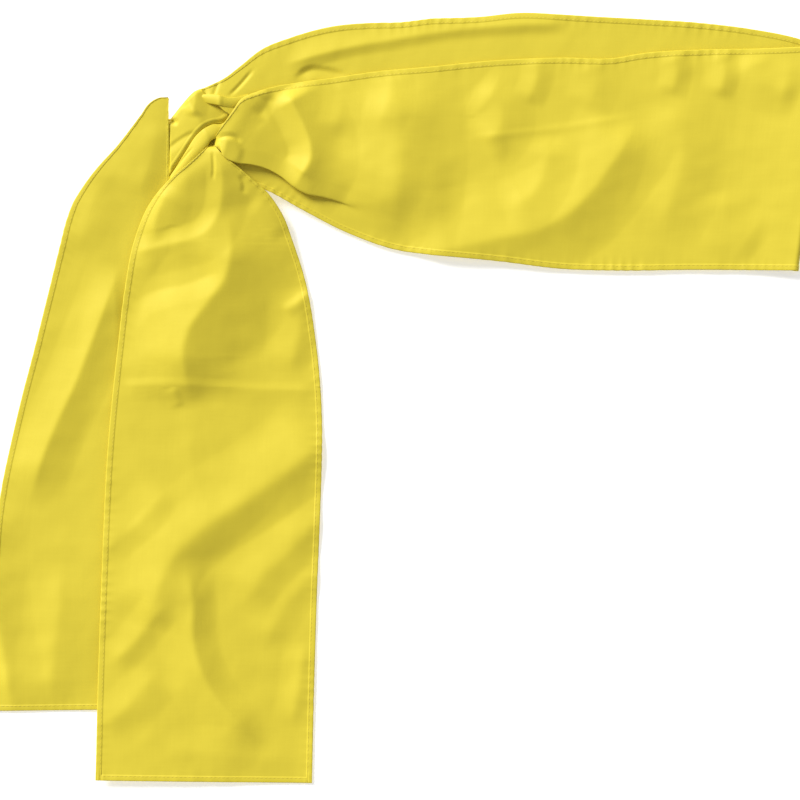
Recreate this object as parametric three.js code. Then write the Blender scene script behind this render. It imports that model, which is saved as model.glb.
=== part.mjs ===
/**
 * A long strip of cloth with a narrow hem all round, tied in a half knot and laid flat: a sash.
 *
 * The knot lies at the origin, on the surface. The waist loop runs to +X, pressed flat into a front band that lies
 * on a back band, and turns back at an end fold. Two tails hang from the knot towards -Y: the back tail lies on
 * the surface, and the front tail lies on it. +Z is up. Millimetres and degrees.
 *
 * Each stretch of the strip is one slab between two sewn hems. A stretch is worked out along its own run (the
 * distance from where it leaves the knot) and across it, and is then placed in plan.
 */
import * as THREE from 'three';

// The strip of cloth.
const STRIP_WIDTH = 203;
const HEM_WIDTH = 5.5;
const LAYER = 3; // height of one laid layer, its soft wrinkles included
const GAP = 0.3; // clearance between touching pieces

// The knot: three levels of gathered cloth, one on another.
const CORE_HEIGHT = 12;
const CORE_CENTRE = { x: -11, y: 8 };
const CORE_RADIUS = { x: 23, y: 24 };
const STRAND_HEIGHT = 14; // the collar and the wrap, which lie on the core
const THROAT_RISE = 4.4; // how far the throat, where the front tail comes out, stands above the strands
const ROLL_HEIGHT = 9;
const NECK_HEIGHT = 8; // the strand that goes to the back tail, under its top

// The front tail: it leaves the top of the knot and comes down on the back tail.
const FRONT_TAIL_LENGTH = 604;
const FRONT_TAIL_CREASE = 230; // the cross crease, where the lower part folds up
const FRONT_TAIL_FAN = 70; // a gathered strip opens by a factor of e in this length
const FRONT_TAIL_MIDDLE = { offset: 5, neck: 9, settle: 40, sway: 14 }; // its middle line, to the right of the knot
const FRONT_TAIL_START = 10;
const FRONT_TAIL_NECK = 2;

// The back tail: its top stands against the left of the knot, and it comes down on the surface.
const BACK_TAIL_LENGTH = 577;
const BACK_TAIL_LANDING = 101;
const BACK_TAIL_FAN = 185;
const BACK_TAIL_NECK = 14;
const BACK_TAIL_START = 2;
const BACK_TAIL_TOP = { x: -40.5, y: 41.5 };
const BACK_TAIL_RISE = 20; // height of its underside at the top
const BACK_TAIL_SHIFT = 24; // how far its right edge moves to the right, under the front tail
const BACK_TAIL_BEND = { from: 78, over: 120 };

// The loop, pressed flat.
const LOOP_LENGTH = 562;
const LOOP_CREASE = 206; // the cross crease, where the outer part folds up
const LOOP_FAN = 95;
const END_FOLD_LEAN = 8;
const FRONT_BAND = { start: 10, neck: 10, middle: 6, drop: 24, settle: 110 };
const BACK_BAND = { start: -3, neck: 20, middle: 22, lift: 26, settle: 90, turn: 330 };

const CLOTH = 0xdfcb45;
const HEM = 0xd3bf42;
const KNOT = 0xe8d247;

const sash = new THREE.Group();

const smooth = (t) => THREE.MathUtils.smoothstep(t, 0, 1);
const stations = (from, to, steps) =>
  Array.from({ length: steps + 1 }, (_, i) => THREE.MathUtils.lerp(from, to, i / steps));

/** Width of the strip at run s, which opens out from a gathered neck. */
const fanned = (s, neck, fan) => neck + (STRIP_WIDTH - neck) * (1 - Math.exp(-Math.max(s, 0) / fan));

/** Height at run s on a straight slope from one height to another. */
const slope = (s0, z0, s1, z1) => (s) => z0 + (z1 - z0) * (s - s0) / (s1 - s0);

function add(name, geometry, colour) {
  geometry.deleteAttribute('normal');
  geometry.deleteAttribute('uv');
  geometry.computeVertexNormals();
  const material = new THREE.MeshStandardMaterial({ color: colour, roughness: 0.55, metalness: 0 });
  const mesh = new THREE.Mesh(geometry, material);
  mesh.name = name;
  sash.add(mesh);
}

/** An outline given as points, raised by `height`. */
function raised(points, height) {
  const shape = new THREE.Shape(points.map(([x, y]) => new THREE.Vector2(x, y)));
  return new THREE.ExtrudeGeometry(shape, { depth: height, bevelEnabled: false });
}

/** One slab over an outline of (run, across) points: placed in plan, its underside on a slope. */
function slab(name, outline, place, underside, colour) {
  const geometry = raised(outline, LAYER);
  const at = geometry.attributes.position;
  for (let i = 0; i < at.count; i++) {
    const [x, y] = place(at.getX(i), at.getY(i));
    at.setXYZ(i, x, y, at.getZ(i) + underside(at.getX(i)));
  }
  add(name, geometry, colour);
}

/** Sideways width of a hem where its edge runs at an angle, so that it keeps its true width. */
function hemAcross(edge, s) {
  const step = 0.5;
  return HEM_WIDTH * Math.hypot(1, (edge(s + step) - edge(s - step)) / (2 * step));
}

/**
 * One stretch of the strip, from run `from` to run `to`: a hem along its low edge, a hem along its high edge, and
 * the cloth between them. `end` names the hem across its far end, where it has one.
 */
function stretch({ name, hems, end, from, to, low, high, place, underside, steps = 8 }) {
  const last = end ? to - HEM_WIDTH - GAP : to;
  const runs = stations(from, last, steps);
  const lowInner = (s) => low(s) + hemAcross(low, s);
  const highInner = (s) => high(s) - hemAcross(high, s);
  const between = (a, b) => [...runs.map((s) => [s, a(s)]), ...runs.toReversed().map((s) => [s, b(s)])];
  slab(`${name}_${hems[0]}_hem`, between(low, lowInner), place, underside, HEM);
  slab(`${name}_${hems[1]}_hem`, between(highInner, high), place, underside, HEM);
  slab(name, between((s) => lowInner(s) + GAP, (s) => highInner(s) - GAP), place, underside, CLOTH);
  if (end) {
    const across = [[to - HEM_WIDTH, low(to)], [to, low(to)], [to, high(to)], [to - HEM_WIDTH, high(to)]];
    slab(`${name}_${end}_hem`, across, place, underside, HEM);
  }
}

// ---------------------------------------------------------------------------------------------- the knot

/** A lump of gathered cloth over an outline, from height `bottom`. */
function lump(name, points, bottom, height) {
  const geometry = raised(points, height);
  geometry.translate(0, 0, bottom);
  add(name, geometry, KNOT);
}

/** Points round an ellipse. */
const ellipse = (centre, radius, steps) =>
  stations(0, 2 * Math.PI, steps).slice(0, -1)
    .map((a) => [centre.x + radius.x * Math.cos(a), centre.y + radius.y * Math.sin(a)]);

/** A capsule in plan, from one point to another. */
function capsule(from, to, radius, steps) {
  const heading = Math.atan2(to.y - from.y, to.x - from.x);
  const cap = (at, turn) => stations(-Math.PI / 2, Math.PI / 2, steps)
    .map((a) => [at.x + radius * Math.cos(heading + turn + a), at.y + radius * Math.sin(heading + turn + a)]);
  return [...cap(to, 0), ...cap(from, Math.PI)];
}

const strandBottom = CORE_HEIGHT + GAP;
const strandTop = strandBottom + STRAND_HEIGHT;
const throatHeight = STRAND_HEIGHT + THROAT_RISE;

lump('knot_core', ellipse(CORE_CENTRE, CORE_RADIUS, 28), 0, CORE_HEIGHT);

// The wide strand over the upper left of the core.
lump('knot_collar', [
  [-39.5, -24], [-35.5, -23], [-28.3, -10], [-21, 1], [-13, 9.6], [-6.6, 13.4], [6, 16.4], [4, 24], [-7, 32],
  [-10.5, 42], [-8, 51], [-12, 52], [-20, 43.5], [-36.5, 24.5], [-39.5, 20],
], strandBottom, STRAND_HEIGHT);

// The narrow strand that crosses the front, between the collar and the front tail.
lump('knot_wrap', [
  [-39, -33.5], [-21, -16.3], [-9, -8.5], [-7, -2], [3.5, 3], [8, 14.8], [-6.4, 11.8], [-12.8, 8], [-20.5, -1],
  [-27.8, -11.5], [-35.2, -25],
], strandBottom, STRAND_HEIGHT);

// The cloth of the front tail, gathered where it comes out of the knot.
lump('knot_throat', [[-6.4, -3], [-6, -11.5], [0, -13], [8, -11.5], [9.4, -3], [4.3, 1.5]], strandBottom, throatHeight);

// The small fold where the back band is tucked under.
lump('knot_roll', capsule({ x: -5, y: 38.5 }, { x: 18, y: 34 }, 3, 6), strandBottom, ROLL_HEIGHT);

// The strand that leaves the core for the back tail, under the tail's top.
lump('back_tail_neck', capsule({ x: -45, y: 12 }, { x: -72, y: 12 }, 10.6, 8), 0, NECK_HEIGHT);

// ------------------------------------------------------------------------------------------- front tail

const upperLayer = LAYER + GAP; // underside of a stretch that lies on another
const frontTailTop = strandTop + THROAT_RISE + 3 * GAP;

function frontTailMiddle(s) {
  const { offset, neck, settle, sway } = FRONT_TAIL_MIDDLE;
  return offset - neck * Math.exp(-s / settle) - sway * (s / FRONT_TAIL_LENGTH) ** 2;
}
const frontTailWidth = (s) => fanned(s, FRONT_TAIL_NECK, FRONT_TAIL_FAN);

const frontTail = {
  hems: ['left', 'right'],
  low: (s) => frontTailMiddle(s) - frontTailWidth(s) / 2,
  high: (s) => frontTailMiddle(s) + frontTailWidth(s) / 2,
  place: (s, c) => [c, -s],
};

stretch({
  ...frontTail,
  name: 'front_tail_upper',
  from: FRONT_TAIL_START,
  to: FRONT_TAIL_CREASE - GAP / 2,
  underside: slope(FRONT_TAIL_START, frontTailTop, FRONT_TAIL_CREASE, upperLayer),
  steps: 10,
});

stretch({
  ...frontTail,
  name: 'front_tail_lower',
  end: 'end',
  from: FRONT_TAIL_CREASE + GAP / 2,
  to: FRONT_TAIL_LENGTH,
  underside: () => upperLayer,
});

// -------------------------------------------------------------------------------------------- back tail

const backTailRight = (s) => BACK_TAIL_SHIFT * smooth((s - BACK_TAIL_BEND.from) / BACK_TAIL_BEND.over);

const backTail = {
  hems: ['left', 'right'],
  low: (s) => backTailRight(s) - fanned(s, BACK_TAIL_NECK, BACK_TAIL_FAN),
  high: backTailRight,
  place: (s, c) => [BACK_TAIL_TOP.x + c, BACK_TAIL_TOP.y - s],
};

stretch({
  ...backTail,
  name: 'back_tail_upper',
  from: BACK_TAIL_START,
  to: BACK_TAIL_LANDING - GAP / 2,
  underside: slope(0, BACK_TAIL_RISE, BACK_TAIL_LANDING, 0),
});

stretch({
  ...backTail,
  name: 'back_tail_lower',
  end: 'end',
  from: BACK_TAIL_LANDING + GAP / 2,
  to: BACK_TAIL_LENGTH,
  underside: () => 0,
  steps: 12,
});

// ------------------------------------------------------------------------------------------------- loop

const frontBandMiddle = (s) =>
  FRONT_BAND.middle - FRONT_BAND.drop * (1 - Math.exp(-s / FRONT_BAND.settle));
const loopEndMiddle = frontBandMiddle(LOOP_LENGTH);

/** The back band's middle line: high beside the knot, level, then falling to meet the front band at the end fold. */
function backBandMiddle(s) {
  const turned = Math.max(s - BACK_BAND.turn, 0) / (LOOP_LENGTH - BACK_BAND.turn);
  const level = BACK_BAND.middle + BACK_BAND.lift * Math.exp(-s / BACK_BAND.settle);
  const levelAtEnd = BACK_BAND.middle + BACK_BAND.lift * Math.exp(-LOOP_LENGTH / BACK_BAND.settle);
  return level + (loopEndMiddle - levelAtEnd) * turned ** 2;
}

/** Plan position on the loop. The outer part leans more and more, up to the lean of the end fold. */
function onLoop(s, c) {
  const share = Math.max(s - LOOP_CREASE, 0) / (LOOP_LENGTH - LOOP_CREASE);
  return [s + share * (c - loopEndMiddle) * Math.tan(THREE.MathUtils.degToRad(END_FOLD_LEAN)), c];
}

const bandEdges = (middle, neck) => ({
  hems: ['bottom', 'top'],
  low: (s) => middle(s) - fanned(s, neck, LOOP_FAN) / 2,
  high: (s) => middle(s) + fanned(s, neck, LOOP_FAN) / 2,
  place: onLoop,
});

const frontBand = bandEdges(frontBandMiddle, FRONT_BAND.neck);
const backBand = bandEdges(backBandMiddle, BACK_BAND.neck);
const backBandTop = CORE_HEIGHT - LAYER; // its neck is level with the core
const frontBandTop = strandTop - LAYER / 2; // its neck is level with the strands

stretch({
  ...frontBand,
  name: 'front_band_inner',
  from: FRONT_BAND.start,
  to: LOOP_CREASE - GAP / 2,
  underside: slope(0, frontBandTop, LOOP_CREASE, upperLayer),
  steps: 10,
});

stretch({
  ...frontBand,
  name: 'front_band_outer',
  from: LOOP_CREASE + GAP / 2,
  to: LOOP_LENGTH - GAP,
  underside: () => upperLayer,
});

stretch({
  ...backBand,
  name: 'back_band_inner',
  from: BACK_BAND.start,
  to: LOOP_CREASE - GAP / 2,
  underside: slope(0, backBandTop, LOOP_CREASE, 0),
  steps: 10,
});

stretch({
  ...backBand,
  name: 'back_band_outer',
  from: LOOP_CREASE + GAP / 2,
  to: LOOP_LENGTH - GAP,
  underside: () => 0,
});

/** The end fold: a bar as high as both layers, rounded on its outer side, along the leaning end of the bands. */
function endFold() {
  const height = 2 * LAYER + GAP;
  const profile = new THREE.Shape();
  profile.moveTo(0, 0);
  profile.absarc(0, height / 2, height / 2, -Math.PI / 2, Math.PI / 2, false);
  const width = frontBand.high(LOOP_LENGTH) - frontBand.low(LOOP_LENGTH);
  const geometry = new THREE.ExtrudeGeometry(profile, { depth: width, bevelEnabled: false, curveSegments: 6 });
  const at = geometry.attributes.position;
  for (let i = 0; i < at.count; i++) {
    const across = frontBand.high(LOOP_LENGTH) - at.getZ(i);
    const [x, y] = onLoop(LOOP_LENGTH, across);
    at.setXYZ(i, x + at.getX(i), y, at.getY(i));
  }
  add('loop_end_fold', geometry, CLOTH);
}

endFold();

export default sash;
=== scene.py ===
"""Looks of a yellow cloth sash that is tied in a half knot and laid flat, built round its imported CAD
frame.

The strip of cloth is drawn as the sheets that the frame divides it into. Every sheet is one closed thin
shell: a grid of runs (along the strip) and columns (across it), given half its thickness on both sides.
Shapes are worked out in millimetres and put into the meshes in metres. +X runs along the loop, the tails
point to -Y and +Z is up.
"""
import math

import bpy
import numpy as np
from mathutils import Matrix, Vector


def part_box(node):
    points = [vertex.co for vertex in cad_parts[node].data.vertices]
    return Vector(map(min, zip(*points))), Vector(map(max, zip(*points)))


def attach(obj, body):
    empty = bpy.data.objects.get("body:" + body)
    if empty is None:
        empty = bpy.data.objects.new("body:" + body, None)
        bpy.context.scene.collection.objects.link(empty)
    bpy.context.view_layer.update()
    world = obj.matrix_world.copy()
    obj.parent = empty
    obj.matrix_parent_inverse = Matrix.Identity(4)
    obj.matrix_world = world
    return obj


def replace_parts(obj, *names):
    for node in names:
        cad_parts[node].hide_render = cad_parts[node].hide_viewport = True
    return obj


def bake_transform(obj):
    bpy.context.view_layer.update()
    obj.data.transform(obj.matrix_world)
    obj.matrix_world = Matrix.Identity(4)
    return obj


bl_info = {
    "name": "Knotted cloth sash",
    "version": (1, 0, 0),
    "blender": (4, 5, 0),
    "location": "View3D > Sidebar > Sash",
    "description": "Builds a hemmed cloth sash, tied in a half knot, round its CAD frame",
    "category": "Add Mesh",
}

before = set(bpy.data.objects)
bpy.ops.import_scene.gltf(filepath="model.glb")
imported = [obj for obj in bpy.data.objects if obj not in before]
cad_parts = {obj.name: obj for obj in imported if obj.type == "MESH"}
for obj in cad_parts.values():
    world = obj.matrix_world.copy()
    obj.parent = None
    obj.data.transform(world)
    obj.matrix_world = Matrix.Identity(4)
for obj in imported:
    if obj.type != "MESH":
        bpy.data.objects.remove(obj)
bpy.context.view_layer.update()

MM = 0.001


def side(node, corner, axis):
    """One side of a CAD node's box in millimetres: corner 0 is the lowest and 1 the highest, axis 0, 1 or
    2."""
    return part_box(node)[corner][axis] / MM


# Places that the frame sets, in millimetres.
TAIL_CREASE = side("front_tail_lower", 1, 1)
TAIL_END = side("front_tail_lower_end_hem", 0, 1)
HEM_WIDTH = side("front_tail_lower_end_hem", 1, 1) - TAIL_END
STRIP_WIDTH = side("front_tail_lower_end_hem", 1, 0) - side("front_tail_lower_end_hem", 0, 0)


# ------------------------------------------------------------------------------------------------ colours

def linear(code):
    """An sRGB hex colour as linear RGBA."""
    parts = [int(code[i:i + 2], 16) / 255 for i in (1, 3, 5)]
    return tuple(c / 12.92 if c <= 0.04045 else ((c + 0.055) / 1.055) ** 2.4 for c in parts) + (1.0,)


# --------------------------------------------------------------------------------------- curves and folds

def smooth(t):
    """0 below 0, 1 above 1 and 3t^2 - 2t^3 between."""
    t = np.clip(t, 0, 1)
    return t * t * (3 - 2 * t)


def through(points, t):
    """A smooth curve through points, at t from 0 to 1: cubic Hermite pieces by chord length."""
    p = np.asarray(points, float)
    k = np.concatenate([[0], np.cumsum(np.linalg.norm(np.diff(p, axis=0), axis=1))])
    k /= k[-1]
    slope = np.gradient(p, k, axis=0)
    t = np.clip(np.asarray(t, float), 0, 1)
    i = np.clip(np.searchsorted(k, t, side="right") - 1, 0, len(k) - 2)
    h = (k[i + 1] - k[i])[..., None]
    u = (t - k[i])[..., None] / h
    return ((2 * u**3 - 3 * u**2 + 1) * p[i] + (u**3 - 2 * u**2 + u) * h * slope[i]
            + (3 * u**2 - 2 * u**3) * p[i + 1] + (u**3 - u**2) * h * slope[i + 1])


def beside(x, y, path, samples=64):
    """Each point's signed distance from a path, positive on its left, and the place along the path from 0
    to 1."""
    t = np.linspace(0, 1, samples)
    line = through(path, t)
    heading = np.gradient(line, axis=0)
    heading /= np.linalg.norm(heading, axis=1, keepdims=True)
    dx = x[..., None] - line[:, 0]
    dy = y[..., None] - line[:, 1]
    near = np.argmin(dx**2 + dy**2, axis=-1)[..., None]
    dx = np.take_along_axis(dx, near, -1)[..., 0]
    dy = np.take_along_axis(dy, near, -1)[..., 0]
    along, near = heading[near[..., 0]], near[..., 0]
    step = np.linalg.norm(line[-1] - line[0]) / samples
    across = along[..., 0] * dy - along[..., 1] * dx
    slip = (along[..., 0] * dx + along[..., 1] * dy) / max(step, 1e-6)
    inside = (near > 0) & (near < samples - 1)
    distance = np.where(inside, across, np.hypot(dx, dy) * np.where(across < 0, -1, 1))
    return distance, np.clip((near + np.where(inside, slip, 0)) / (samples - 1), 0, 1)


def fold(x, y, path, height, left, right, crest=2.0, ends=0.25):
    """A fold along a path. Its height falls from the crest as (1 - d / width)^1.3, with its own width on
    each side; the crest is rounded, and the fold dies away towards the ends of the path."""
    distance, along = beside(x, y, path)
    width = np.where(distance > 0, left, right)
    away = (np.sqrt(distance**2 + crest**2) - crest) / width
    taper = smooth(along / ends) * smooth((1 - along) / ends)
    return height * taper * np.clip(1 - away, 0, 1) ** 1.3


def folded(x, y, folds):
    """The sum of several folds."""
    return sum(fold(x, y, *f) for f in folds)


def tucked(plan, path, depth, width, rise, ends=0.3):
    """Cloth folded under itself along a path. A point at signed distance q from the path moves across it
    by -depth sin(pi q / width) for q within width, so that the cloth doubles back where depth > width /
    pi, and the cloth on the path's left is raised over the rest. Returns the moved plan points and the
    rise."""
    q, along = beside(plan[..., 0], plan[..., 1], path, 96)
    start, end = np.array(path[0], float), np.array(path[-1], float)
    heading = (end - start) / np.linalg.norm(end - start)
    normal = np.array([-heading[1], heading[0]])
    share = smooth((1 - along) / ends) * smooth(along / 0.04)
    near = np.clip(q / width, -1, 1)
    shift = -depth * share * np.sin(math.pi * near)
    step = 0.5 + 0.5 * np.sin(math.pi * np.clip(near, -0.5, 0.5))
    height = rise * smooth((1 - along) / (ends * 1.3)) * step
    height = height * np.exp(-(np.maximum(q - width / 2, 0) / 26) ** 2)
    return plan + normal * shift[..., None], height


def undulation(x, y, seed, wave, slope, waves=28):
    """Soft irregular relief: plane waves of random direction, length (0.6 to 2 times wave) and phase,
    each as high as its length allows at that slope."""
    rng = np.random.default_rng(seed)
    total = 0
    for angle, length, phase in zip(rng.uniform(0, math.pi, waves), wave * rng.uniform(0.6, 2, waves),
                                    rng.uniform(0, 2 * math.pi, waves)):
        pace = 2 * math.pi / length
        total = total + np.sin(pace * (x * math.cos(angle) + y * math.sin(angle)) + phase) * slope / pace
    return total / math.sqrt(waves / 2)


def wrinkled(x, y, seed):
    """Soft relief of laid cloth: broad waves about 48 mm long and fine ones about 17 mm long."""
    return undulation(x, y, seed, 48, 0.026) + undulation(x, y, seed + 5, 17, 0.016)


def pucker(run, seed):
    """Small gathers along a sewn hem, from 0 to 1: sharpened waves about 11 mm apart, whose spacing and
    strength wander."""
    rng = np.random.default_rng(seed)
    a, b, c, d = rng.uniform(0, 2 * math.pi, 4)
    phase = run / 1.7 + 1.7 * np.sin(run / 11.3 + a) + 2.2 * np.sin(run / 31 + b)
    strength = 0.45 + 0.3 * np.sin(run / 19 + c) + 0.25 * np.sin(run / 47 + d)
    return strength * (0.5 + 0.5 * np.sin(phase)) ** 2


def above(z, lowest, softness=0.6):
    """z, kept above lowest: lowest + k ln(1 + e^((z - lowest) / k))."""
    return lowest + softness * np.logaddexp(0, (z - lowest) / softness)


# -------------------------------------------------------------------------------------- grids and meshes

HEM_COLUMNS = np.array([0, 0.25, 0.7, 1.5, 2.6, 3.5, 3.95, 4.3, 4.65, 5.0, 5.35, 5.7, 6.2, 7.2, 8.8, 11.0])
STITCH_LINE = 4.3


def columns(width, inner=74):
    """Distances of the columns from the first edge, for each run's width: close together at both hems,
    then even. Where the strip is gathered the hems are gathered with it."""
    width = np.asarray(width, float)[:, None]
    share = np.minimum(1, (width / 120) ** 0.8)
    first = HEM_COLUMNS * share
    middle = np.linspace(0, 1, inner + 2)[1:-1]
    start = first[:, -1:]
    return np.concatenate([first, start + (width - 2 * start) * middle, width - first[:, ::-1]], axis=1)


def from_edge(count):
    """Distance of each column from the nearer edge of the uncut, ungathered strip."""
    flat = columns([STRIP_WIDTH], count)[0]
    return np.minimum(flat, STRIP_WIDTH - flat)


def half_thickness(edge, cloth, hem):
    """Half the thickness at a distance from the edge: a rounded edge, the hem with a groove under its
    stitches, and then the single cloth."""
    rounded = np.sqrt(np.clip(1 - (1 - np.clip(edge / 0.8, 0, 1)) ** 2, 0, 1))
    groove = 0.15 * np.exp(-((edge - STITCH_LINE) / 0.45) ** 2)
    step = smooth((edge - HEM_WIDTH + 0.5) / 0.7)
    return 0.5 * rounded * ((hem * (1 - groove)) * (1 - step) + cloth * step)


def between(first, second, t):
    """A grid of plan points: run by run, the columns on the straight line from one edge curve to the
    other."""
    a, b = through(first, t), through(second, t)
    reach = b - a
    width = np.linalg.norm(reach, axis=1)
    c = columns(width)
    return a[:, None, :] + (reach / width[:, None])[:, None, :] * c[..., None]


def lengths(grid):
    """Distance along each column's line from its first point."""
    steps = np.linalg.norm(np.diff(grid, axis=0), axis=2)
    return np.concatenate([np.zeros((1, grid.shape[1])), np.cumsum(steps, axis=0)])


def normals(grid):
    """Unit normals of a grid: the cross product of its two central differences."""
    n = np.cross(np.gradient(grid, axis=0), np.gradient(grid, axis=1))
    return n / np.maximum(np.linalg.norm(n, axis=2, keepdims=True), 1e-9)


def shell(name, grid, half, uv, material, cut_ends=(True, True)):
    """A closed thin shell: the grid moved by half along its normals to both sides. The two sides share
    the grid's first and last columns; at a cut end they keep their distance and a narrow strip with sharp
    edges joins them, so that two sheets which meet there look like one."""
    rows, cols, _ = grid.shape
    normal = normals(grid)
    half = half.copy()
    shared = np.zeros((rows, cols), bool)
    shared[:, [0, -1]] = True
    for row, cut in zip((0, -1), cut_ends):
        shared[row] |= not cut
    half[shared] = 0
    top = np.arange(rows * cols).reshape(rows, cols)
    under = top.copy()
    under[~shared] = rows * cols + np.arange((~shared).sum())
    upper = grid + normal * half[..., None]
    lower = (grid - normal * half[..., None])[~shared]
    points = np.concatenate([upper.reshape(-1, 3), lower])

    def quads(index):
        corners = [index[:-1, :-1], index[1:, :-1], index[1:, 1:], index[:-1, 1:]]
        return np.stack(corners, axis=-1).reshape(-1, 4)

    parts = [quads(top), quads(under)[:, ::-1]]
    for row, cut in zip((0, -1), cut_ends):
        if cut:
            strip = quads(np.stack([top[row], under[row]] if row else [under[row], top[row]]))
            strip[0] = np.roll(strip[0], 2)
            parts.append(strip)
    faces = np.concatenate(parts)
    uvs = np.concatenate([uv.reshape(-1, 2), uv[~shared]])
    rim = np.zeros(len(points), bool)
    for row, cut in zip((0, -1), cut_ends):
        if cut:
            rim[top[row]] = rim[under[row]] = True
    return make_mesh(name, points, faces, uvs, material, rim)


def make_mesh(name, points, faces, uvs, material, rim=None):
    """A new smooth-shaded object from points in millimetres, faces of four corners (a triangle repeats
    its last) and one UV per point. Edges between two points of the rim are sharp."""
    mesh = bpy.data.meshes.new(name)
    triangles = faces[:, 2] == faces[:, 3]
    sizes = np.where(triangles, 3, 4)
    keep = np.ones(faces.shape, bool)
    keep[triangles, 3] = False
    loops = faces[keep]
    mesh.vertices.add(len(points))
    mesh.vertices.foreach_set("co", (points * MM).astype(np.float32).ravel())
    mesh.loops.add(len(loops))
    mesh.loops.foreach_set("vertex_index", loops.astype(np.int32))
    mesh.polygons.add(len(faces))
    mesh.polygons.foreach_set("loop_start", np.concatenate([[0], np.cumsum(sizes)[:-1]]).astype(np.int32))
    mesh.polygons.foreach_set("use_smooth", np.ones(len(faces), bool))
    layer = mesh.uv_layers.new(name="cloth_mm")
    layer.data.foreach_set("uv", uvs[loops].astype(np.float32).ravel())
    mesh.update(calc_edges=True)
    if rim is not None:
        ends = np.zeros(2 * len(mesh.edges), np.int32)
        mesh.edges.foreach_get("vertices", ends)
        sharp = mesh.attributes.new("sharp_edge", "BOOLEAN", "EDGE")
        sharp.data.foreach_set("value", rim[ends].reshape(-1, 2).all(axis=1))
    mesh.materials.append(material)
    obj = bpy.data.objects.new(name, mesh)
    bpy.context.scene.collection.objects.link(obj)
    return obj


def strip_uv(grid, start=0.0):
    """UV in millimetres: across the ungathered strip, and along the run from a starting length."""
    rows, cols, _ = grid.shape
    flat = columns([STRIP_WIDTH], cols - 2 * len(HEM_COLUMNS))[0]
    along = start + lengths(grid).mean(axis=1)
    return np.stack(np.broadcast_arrays(flat[None, :], along[:, None]), axis=-1).astype(float)


def spaced(length, step=1.6, close_end=False):
    """Places from 0 to 1 about a step apart. At a hemmed end the last rows stand where the hem's columns
    do."""
    t = np.linspace(0, 1, max(int(length / step), 4))
    if not close_end:
        return t
    last = 1 - HEM_COLUMNS[::-1] / length
    return np.concatenate([t[t < last[0] - 0.5 * step / length], last])


def hems(grid, seed, width_wobble=0.3, height=0.6):
    """Puckers of the two sewn edges: added height, and a small shift in plan away from the edge."""
    rows, cols, _ = grid.shape
    edge = from_edge(cols - 2 * len(HEM_COLUMNS))
    run = lengths(grid)
    fade = np.exp(-((edge / 8.5) ** 2))
    first = np.arange(cols) < cols / 2
    wave = np.where(first, pucker(run, seed), pucker(run, seed + 1))
    across = np.gradient(grid[..., :2], axis=1)
    across /= np.maximum(np.linalg.norm(across, axis=2, keepdims=True), 1e-9)
    inward = np.where(first, 1, -1)[None, :, None] * across
    shifted = grid.copy()
    shifted[..., :2] += inward * (wave * fade * width_wobble)[..., None]
    shifted[..., 2] += height * wave * fade
    return shifted


def seam_lines(grid, half, end_hem):
    """Where the stitches of a sheet run: points, normals and half thickness along each line, for both
    faces."""
    k = int(np.argmin(abs(HEM_COLUMNS - STITCH_LINE)))
    rows = slice(None, -k if end_hem else None)
    normal = normals(grid)
    lines = []
    for sign in (1, -1):
        for column in (k, -1 - k):
            lines.append((grid[rows, column], sign * normal[rows, column], half[rows, column]))
        if end_hem:
            lines.append((grid[-1 - k, k:-k], sign * normal[-1 - k, k:-k], half[-1 - k, k:-k]))
    return lines


def stitches(name, lines, material, pitch=4.0, length=3.0, width=0.3, height=0.22):
    """Stitches along lines: closed spindles, half sunk into the hem. At a from -1 to 1 along a spindle
    its section is an ellipse of sqrt(1 - a^2) times the half width and the height."""
    around, rings = 6, 5
    a = -np.cos(np.linspace(0, math.pi, rings + 2))
    turn = np.linspace(0, 2 * math.pi, around, endpoint=False)
    points, uvs = [], []
    for line, normal, half in lines:
        run = np.concatenate([[0], np.cumsum(np.linalg.norm(np.diff(line, axis=0), axis=1))])
        places = np.arange(pitch, run[-1] - pitch, pitch)[:, None] + a * length / 2

        def at(values):
            return np.stack([np.interp(places, run, values[:, i]) for i in range(3)], axis=-1)

        centre, up = at(line + normal * half[:, None]), at(normal)
        forward = at(np.gradient(line, axis=0))
        across = np.cross(up, forward)
        across /= np.linalg.norm(across, axis=2, keepdims=True)
        swell = np.sqrt(1 - a**2)[None, :, None, None]
        ring = (across[:, :, None] * (width * np.cos(turn))[None, None, :, None]
                + up[:, :, None] * (height * np.sin(turn))[None, None, :, None]) * swell
        spindle = centre[:, :, None] + ring
        points.append(np.concatenate([spindle[:, 0, :1], spindle[:, 1:-1].reshape(len(places), -1, 3),
                                      spindle[:, -1, :1]], axis=1))
        u, v = np.broadcast_arrays(turn * width, places[:, 1:-1, None])
        uv = np.stack([u, v], axis=-1).reshape(len(places), -1, 2)
        ends = [np.stack([0 * places[:, [i]], places[:, [i]]], axis=-1) for i in (0, -1)]
        uvs.append(np.concatenate([ends[0], uv, ends[1]], axis=1))
    points, uvs = np.concatenate(points), np.concatenate(uvs)
    size = points.shape[1]
    index = 1 + np.arange(rings * around).reshape(rings, around)
    beyond = np.roll(index, -1, axis=1)
    sides = np.stack([index[:-1], beyond[:-1], beyond[1:], index[1:]], axis=-1).reshape(-1, 4)
    tip = np.stack([np.zeros(around, int), beyond[0], index[0], index[0]], axis=-1)
    tail = np.stack([np.full(around, size - 1), index[-1], beyond[-1], beyond[-1]], axis=-1)
    one = np.concatenate([sides, tip, tail])
    faces = (np.arange(len(points))[:, None, None] * size + one).reshape(-1, 4)
    return make_mesh(name, points.reshape(-1, 3), faces, uvs.reshape(-1, 2), material)


# --------------------------------------------------------------------------------- the sheets, in millimetres

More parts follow.
